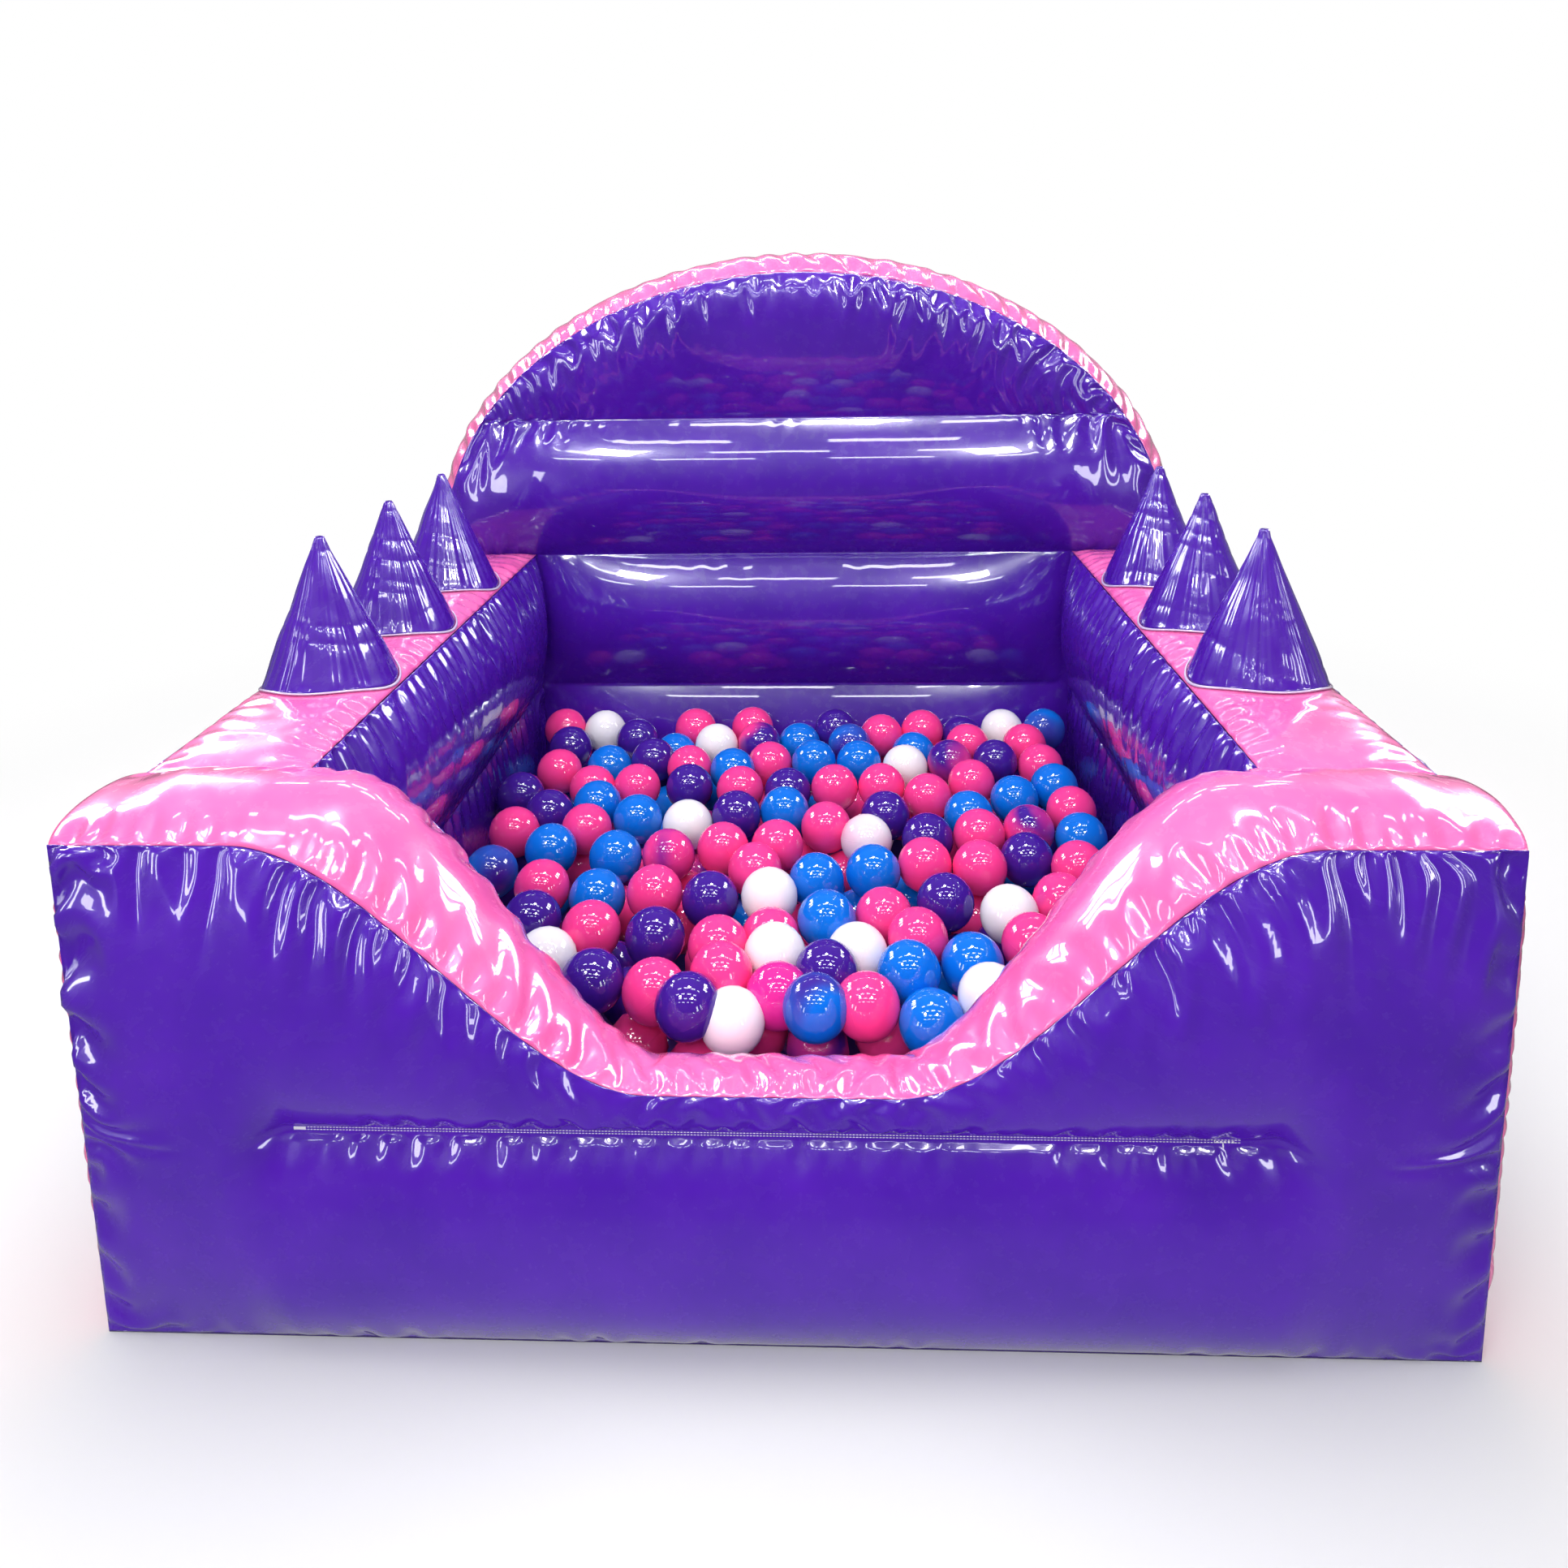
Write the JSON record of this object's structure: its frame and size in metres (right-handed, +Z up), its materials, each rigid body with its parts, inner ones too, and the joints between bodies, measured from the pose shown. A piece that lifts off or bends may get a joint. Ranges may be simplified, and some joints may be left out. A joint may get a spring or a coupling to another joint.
{
  "type": "inflatable ball pit",
  "caption": "Square inflatable ball pit with an arched back wall, a dipped entry wall, air cones on the side walls, a bed of play balls and a rear blower sleeve.",
  "frame": {"origin": "on the ground, under the middle of the whole object's bounding box", "axes": "+Z up, +Y from the front wall to the arched back wall, +X to the right of someone who looks at the front wall"},
  "size_m": [1.57, 1.6112, 1.195],
  "materials": {
    "purple_pvc": "glossy sewn PVC sheet",
    "pink_pvc": "glossy sewn PVC sheet",
    "base_pvc": "satin PVC sheet",
    "tie_pvc": "satin white PVC sheet",
    "zip_cloth": "woven polyester tape",
    "zip_metal": "satin metal",
    "ball_pink": "blow-moulded polyethylene",
    "ball_magenta": "blow-moulded polyethylene",
    "ball_blue": "blow-moulded polyethylene",
    "ball_violet": "blow-moulded polyethylene",
    "ball_white": "blow-moulded polyethylene"
  },
  "bodies": {
    "pit": {"front_wall_outer_panel": "purple_pvc", "front_wall_inner_panel": "purple_pvc", "left_wall_inner_panel": "purple_pvc", "left_wall_outer_panel": "purple_pvc", "right_wall_inner_panel": "purple_pvc", "right_wall_outer_panel": "purple_pvc", "back_wall_front_panel": "purple_pvc", "back_wall_rear_panel": "purple_pvc", "left_air_cone_1": "purple_pvc", "left_air_cone_2": "purple_pvc", "left_air_cone_3": "purple_pvc", "right_air_cone_1": "purple_pvc", "right_air_cone_2": "purple_pvc", "right_air_cone_3": "purple_pvc", "blower_inlet_sleeve": "purple_pvc", "blower_inlet_patch": "purple_pvc", "front_wall_left_shoulder_band": "pink_pvc", "front_wall_left_dip_band": "pink_pvc", "front_wall_right_dip_band": "pink_pvc", "front_wall_right_shoulder_band": "pink_pvc", "left_wall_top_band": "pink_pvc", "right_wall_top_band": "pink_pvc", "back_wall_edge_band": "pink_pvc", "base_sheet": "base_pvc", "front_wall_tie_sheet": "tie_pvc", "left_wall_tie_sheet": "tie_pvc", "right_wall_tie_sheet": "tie_pvc", "back_wall_tie_sheet_low": "tie_pvc", "back_wall_tie_sheet_middle": "tie_pvc", "back_wall_tie_sheet_high": "tie_pvc", "left_cone_welt_1": "tie_pvc", "left_cone_welt_2": "tie_pvc", "left_cone_welt_3": "tie_pvc", "right_cone_welt_1": "tie_pvc", "right_cone_welt_2": "tie_pvc", "right_cone_welt_3": "tie_pvc", "zip_tape": "zip_cloth", "zip_teeth": "zip_metal", "zip_end_stop_left": "zip_metal", "zip_end_stop_right": "zip_metal", "settled_ball_bed": "ball_violet"},
    "zip_slider": {"zip_slider": "zip_metal"},
    "zip_pull": {"zip_pull": "zip_metal"},
    "ball_01": {"ball_01": "ball_blue"},
    "ball_02": {"ball_02": "ball_pink"},
    "ball_03": {"ball_03": "ball_white"},
    "ball_04": {"ball_04": "ball_violet"},
    "ball_05": {"ball_05": "ball_white"},
    "ball_06": {"ball_06": "ball_pink"},
    "ball_07": {"ball_07": "ball_violet"},
    "ball_08": {"ball_08": "ball_blue"},
    "ball_09": {"ball_09": "ball_violet"},
    "ball_10": {"ball_10": "ball_blue"},
    "ball_11": {"ball_11": "ball_white"},
    "ball_12": {"ball_12": "ball_pink"},
    "ball_13": {"ball_13": "ball_white"},
    "ball_14": {"ball_14": "ball_blue"},
    "ball_15": {"ball_15": "ball_pink"},
    "ball_16": {"ball_16": "ball_magenta"},
    "ball_17": {"ball_17": "ball_pink"}
  },
  "joints": [
    {"name": "zip_slide", "type": "slide", "parent": "pit", "child": "zip_slider", "axis": [1, 0, 0], "range_m": [0, 0.275]},
    {"name": "zip_pull_swing", "type": "hinge", "parent": "zip_slider", "child": "zip_pull", "pos_m": [-0.1377, 0.7879, 0.4415], "axis": [0, 0, 1], "range_deg": [-170, 0]},
    {"name": "ball_01_lift", "type": "slide", "parent": "pit", "child": "ball_01", "axis": [0, 0, 1], "range_m": [0, 0.45]},
    {"name": "ball_02_lift", "type": "slide", "parent": "pit", "child": "ball_02", "axis": [0, 0, 1], "range_m": [0, 0.45]},
    {"name": "ball_03_lift", "type": "slide", "parent": "pit", "child": "ball_03", "axis": [0, 0, 1], "range_m": [0, 0.45]},
    {"name": "ball_04_lift", "type": "slide", "parent": "pit", "child": "ball_04", "axis": [0, 0, 1], "range_m": [0, 0.45]},
    {"name": "ball_05_lift", "type": "slide", "parent": "pit", "child": "ball_05", "axis": [0, 0, 1], "range_m": [0, 0.45]},
    {"name": "ball_06_lift", "type": "slide", "parent": "pit", "child": "ball_06", "axis": [0, 0, 1], "range_m": [0, 0.45]},
    {"name": "ball_07_lift", "type": "slide", "parent": "pit", "child": "ball_07", "axis": [0, 0, 1], "range_m": [0, 0.45]},
    {"name": "ball_08_lift", "type": "slide", "parent": "pit", "child": "ball_08", "axis": [0, 0, 1], "range_m": [0, 0.45]},
    {"name": "ball_09_lift", "type": "slide", "parent": "pit", "child": "ball_09", "axis": [0, 0, 1], "range_m": [0, 0.45]},
    {"name": "ball_10_lift", "type": "slide", "parent": "pit", "child": "ball_10", "axis": [0, 0, 1], "range_m": [0, 0.45]},
    {"name": "ball_11_lift", "type": "slide", "parent": "pit", "child": "ball_11", "axis": [0, 0, 1], "range_m": [0, 0.45]},
    {"name": "ball_12_lift", "type": "slide", "parent": "pit", "child": "ball_12", "axis": [0, 0, 1], "range_m": [0, 0.45]},
    {"name": "ball_13_lift", "type": "slide", "parent": "pit", "child": "ball_13", "axis": [0, 0, 1], "range_m": [0, 0.45]},
    {"name": "ball_14_lift", "type": "slide", "parent": "pit", "child": "ball_14", "axis": [0, 0, 1], "range_m": [0, 0.45]},
    {"name": "ball_15_lift", "type": "slide", "parent": "pit", "child": "ball_15", "axis": [0, 0, 1], "range_m": [0, 0.45]},
    {"name": "ball_16_lift", "type": "slide", "parent": "pit", "child": "ball_16", "axis": [0, 0, 1], "range_m": [0, 0.45]},
    {"name": "ball_17_lift", "type": "slide", "parent": "pit", "child": "ball_17", "axis": [0, 0, 1], "range_m": [0, 0.45]}
  ]
}
